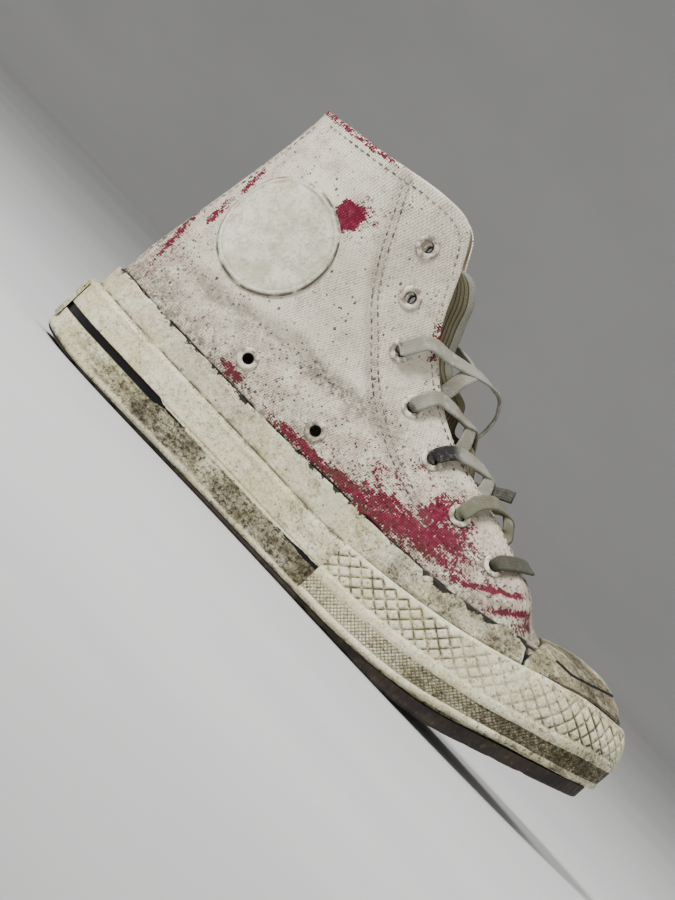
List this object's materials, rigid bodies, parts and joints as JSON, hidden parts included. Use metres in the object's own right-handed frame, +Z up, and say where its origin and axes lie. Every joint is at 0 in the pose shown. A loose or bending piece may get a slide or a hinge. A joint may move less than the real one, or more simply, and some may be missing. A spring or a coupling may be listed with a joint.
{
  "type": "worn high-top sneaker",
  "caption": "Worn high-top canvas sneaker for the left foot, with rubber toe cap, patterned toe bumper, foxing, ankle patch, eyelets, tongue and slack flat laces.",
  "frame": {"origin": "centre of the bounding box in plan, on the floor the sole stands on", "axes": "+X to the toe, -Y to the medial side, +Z up through the collar"},
  "size_m": [0.285, 0.1032, 0.151],
  "materials": {
    "canvas": "coarse printed canvas, faded and dirty",
    "rubber": "satin, yellowed and scuffed",
    "tape": "matt, soiled",
    "cap": "matt, worn",
    "outsole": "matt, worn",
    "patch": "matt",
    "eyelet": "dull, lightly tarnished",
    "lace": "flat woven, stiff with dirt",
    "lining": "plain canvas, stained",
    "insole": "worn flat"
  },
  "bodies": {
    "root": {"upper": "canvas", "foxing_tape": "tape", "midsole": "rubber", "outsole": "outsole", "insole": "insole", "toe_bumper": "rubber", "heel_plate": "rubber", "toe_cap": "cap", "ankle_patch": "patch", "tongue": "lining", "eyelet_medial_1": "eyelet", "eyelet_lateral_1": "eyelet", "eyelet_medial_2": "eyelet", "eyelet_lateral_2": "eyelet", "eyelet_medial_3": "eyelet", "eyelet_lateral_3": "eyelet", "eyelet_medial_4": "eyelet", "eyelet_lateral_4": "eyelet", "eyelet_medial_5": "eyelet", "eyelet_lateral_5": "eyelet", "eyelet_medial_6": "eyelet", "eyelet_lateral_6": "eyelet", "eyelet_medial_7": "eyelet", "eyelet_lateral_7": "eyelet", "vent_1": "eyelet", "vent_2": "eyelet", "lace_cross_3": "lace", "lace_cross_4": "lace", "lace_cross_5": "lace", "lace_cross_6": "lace", "lace_bar_7": "lace", "lace_end": "lace"}
  },
  "joints": []
}
